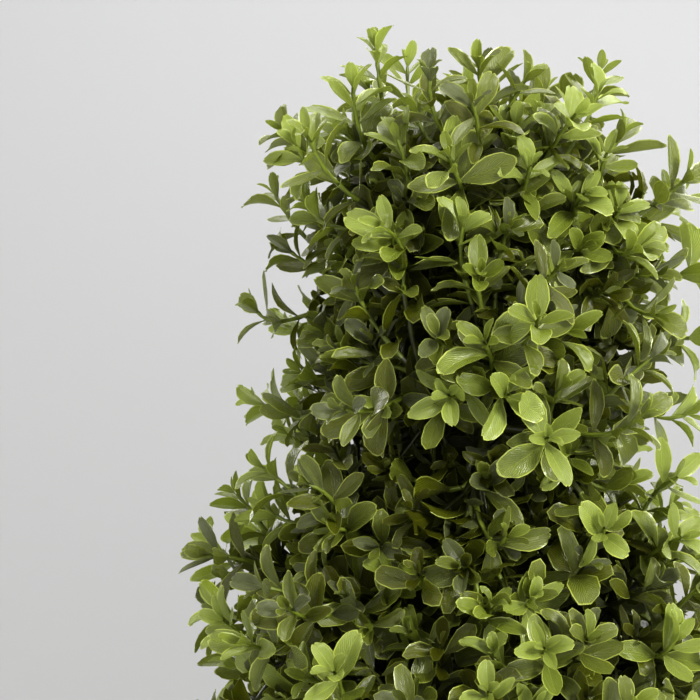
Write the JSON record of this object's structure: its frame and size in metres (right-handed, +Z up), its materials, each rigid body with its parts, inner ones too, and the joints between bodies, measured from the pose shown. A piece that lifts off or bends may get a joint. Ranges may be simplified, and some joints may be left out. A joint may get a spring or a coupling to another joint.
{
  "type": "artificial boxwood cone topiary in a plain pot",
  "caption": "Blunt cone of moulded boxwood foliage round one upright pole, standing in a plain tapered round pot with a thick rim.",
  "frame": {"origin": "centre of the pot's flat underside, which stands on the ground", "axes": "+Z up along the pole; the crown is full all round, so +X and +Y are free"},
  "size_m": [0.3863, 0.3655, 1.04],
  "materials": {
    "foliage": "satin moulded leaves, lime at the tips and deep grey green inside, with pale edges",
    "trunk": "satin dark green moulded plastic with ribs and sockets",
    "bough": "satin dark green moulded plastic",
    "pot": "fine grained matte charcoal plastic",
    "fill": "rough dark crumb over a cement weight"
  },
  "bodies": {
    "root": {"pot": "pot", "pot_fill": "fill", "trunk": "trunk", "mass_crest": "foliage", "mass_01": "foliage", "mass_02": "foliage", "mass_03": "foliage", "mass_04": "foliage", "mass_05": "foliage", "mass_06": "foliage", "mass_07": "foliage", "mass_08": "foliage", "mass_09": "foliage", "mass_10": "foliage", "mass_11": "foliage", "mass_12": "foliage", "mass_13": "foliage", "mass_14": "foliage", "mass_15": "foliage", "mass_16": "foliage", "mass_17": "foliage", "mass_18": "foliage", "mass_19": "foliage", "mass_20": "foliage", "mass_21": "foliage", "mass_22": "foliage", "mass_23": "foliage", "bough_01": "bough", "bough_02": "bough", "bough_03": "bough", "bough_04": "bough", "bough_05": "bough", "bough_06": "bough", "bough_07": "bough", "bough_08": "bough", "bough_09": "bough", "bough_10": "bough", "bough_11": "bough", "bough_12": "bough", "bough_13": "bough", "bough_14": "bough", "bough_15": "bough", "bough_16": "bough", "bough_17": "bough", "bough_18": "bough", "bough_19": "bough", "bough_20": "bough", "bough_21": "bough", "bough_22": "bough", "bough_23": "bough"}
  },
  "joints": []
}
